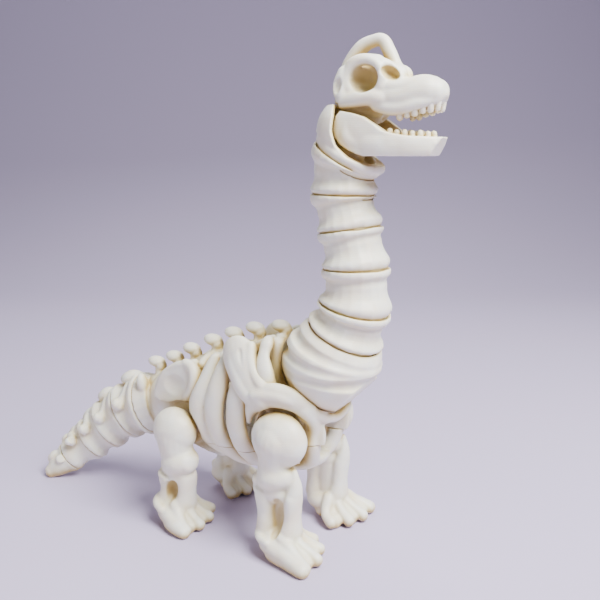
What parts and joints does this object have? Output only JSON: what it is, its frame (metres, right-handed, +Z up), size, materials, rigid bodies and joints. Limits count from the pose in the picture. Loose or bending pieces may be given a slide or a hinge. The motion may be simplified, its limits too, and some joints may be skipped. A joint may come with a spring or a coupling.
{
  "type": "articulated toy dinosaur skeleton",
  "caption": "Print-in-place desk toy of a long-necked dinosaur's skeleton, standing with raised head and open jaws, its neck, tail, jaw and legs jointed.",
  "frame": {"origin": "on the floor, under the middle of the toy's bounding box", "axes": "+X towards the head, +Y to the animal's left, +Z up; it stands on its four feet and the tip of its tail"},
  "size_m": [0.1957, 0.0658, 0.1996],
  "materials": {
    "bone_plastic": "bone-white 3D-printed PLA with fine layer lines"
  },
  "bodies": {
    "trunk": {"backbone": "bone_plastic", "pelvis": "bone_plastic", "ribs_left": "bone_plastic", "ribs_right": "bone_plastic", "shoulder_left": "bone_plastic", "shoulder_right": "bone_plastic", "sternum": "bone_plastic"},
    "neck_1": {"neck_1": "bone_plastic"},
    "neck_2": {"neck_2": "bone_plastic"},
    "neck_3": {"neck_3": "bone_plastic"},
    "neck_4": {"neck_4": "bone_plastic"},
    "neck_5": {"neck_5": "bone_plastic"},
    "neck_6": {"neck_6": "bone_plastic"},
    "neck_7": {"neck_7": "bone_plastic"},
    "skull": {"skull": "bone_plastic"},
    "jaw": {"jaw": "bone_plastic"},
    "tail_1": {"tail_1": "bone_plastic"},
    "tail_2": {"tail_2": "bone_plastic"},
    "tail_3": {"tail_3": "bone_plastic"},
    "tail_4": {"tail_4": "bone_plastic"},
    "tail_5": {"tail_5": "bone_plastic"},
    "leg_front_left": {"leg_front_left": "bone_plastic"},
    "leg_front_right": {"leg_front_right": "bone_plastic"},
    "leg_hind_left": {"leg_hind_left": "bone_plastic"},
    "leg_hind_right": {"leg_hind_right": "bone_plastic"}
  },
  "joints": [
    {"name": "neck_1_nod", "type": "hinge", "parent": "trunk", "child": "neck_1", "pos_m": [0.0543, 0, 0.0775], "axis": [0, 1, 0], "range_deg": [-12, 12]},
    {"name": "neck_2_nod", "type": "hinge", "parent": "neck_1", "child": "neck_2", "pos_m": [0.06276, 0, 0.09619], "axis": [0, 1, 0], "range_deg": [-12, 12]},
    {"name": "neck_3_nod", "type": "hinge", "parent": "neck_2", "child": "neck_3", "pos_m": [0.06516, 0, 0.10696], "axis": [0, 1, 0], "range_deg": [-12, 12]},
    {"name": "neck_4_nod", "type": "hinge", "parent": "neck_3", "child": "neck_4", "pos_m": [0.06377, 0, 0.12195], "axis": [0, 1, 0], "range_deg": [-12, 12]},
    {"name": "neck_5_nod", "type": "hinge", "parent": "neck_4", "child": "neck_5", "pos_m": [0.06045, 0, 0.13605], "axis": [0, 1, 0], "range_deg": [-12, 12]},
    {"name": "neck_6_nod", "type": "hinge", "parent": "neck_5", "child": "neck_6", "pos_m": [0.05861, 0, 0.14909], "axis": [0, 1, 0], "range_deg": [-12, 12]},
    {"name": "neck_7_nod", "type": "hinge", "parent": "neck_6", "child": "neck_7", "pos_m": [0.06364, 0, 0.16196], "axis": [0, 1, 0], "range_deg": [-6, 12]},
    {"name": "head_nod", "type": "hinge", "parent": "neck_7", "child": "skull", "pos_m": [0.063, 0, 0.165], "axis": [0, 1, 0], "range_deg": [-3, 12]},
    {"name": "jaw_hinge", "type": "hinge", "parent": "skull", "child": "jaw", "pos_m": [0.0655, 0, 0.1665], "axis": [0, 1, 0], "range_deg": [-8, 6]},
    {"name": "tail_1_sway", "type": "hinge", "parent": "trunk", "child": "tail_1", "pos_m": [-0.05114, 0, 0.03986], "axis": [-0.342, 0, 0.9397], "range_deg": [-10, 10]},
    {"name": "tail_2_sway", "type": "hinge", "parent": "tail_1", "child": "tail_2", "pos_m": [-0.06243, -0.00109, 0.03266], "axis": [-0.5286, -0.037, 0.848], "range_deg": [-10, 10]},
    {"name": "tail_3_sway", "type": "hinge", "parent": "tail_2", "child": "tail_3", "pos_m": [-0.07316, -0.00338, 0.02346], "axis": [-0.633, -0.1116, 0.766], "range_deg": [-10, 10]},
    {"name": "tail_4_sway", "type": "hinge", "parent": "tail_3", "child": "tail_4", "pos_m": [-0.08182, -0.0068, 0.01533], "axis": [-0.6364, -0.2068, 0.7431], "range_deg": [-10, 10]},
    {"name": "tail_5_sway", "type": "hinge", "parent": "tail_4", "child": "tail_5", "pos_m": [-0.09043, -0.01235, 0.00683], "axis": [-0.5962, -0.3038, 0.7431], "range_deg": [-10, 10]},
    {"name": "leg_front_left_swing", "type": "hinge", "parent": "trunk", "child": "leg_front_left", "pos_m": [0.0417, 0.02, 0.0487], "axis": [0, 1, 0], "range_deg": [-30, 25]},
    {"name": "leg_front_right_swing", "type": "hinge", "parent": "trunk", "child": "leg_front_right", "pos_m": [0.0417, -0.02, 0.0487], "axis": [0, 1, 0], "range_deg": [-30, 25]},
    {"name": "leg_hind_left_swing", "type": "hinge", "parent": "trunk", "child": "leg_hind_left", "pos_m": [-0.0109, 0.02, 0.0423], "axis": [0, 1, 0], "range_deg": [-30, 25]},
    {"name": "leg_hind_right_swing", "type": "hinge", "parent": "trunk", "child": "leg_hind_right", "pos_m": [-0.0109, -0.02, 0.0423], "axis": [0, 1, 0], "range_deg": [-30, 25]}
  ]
}
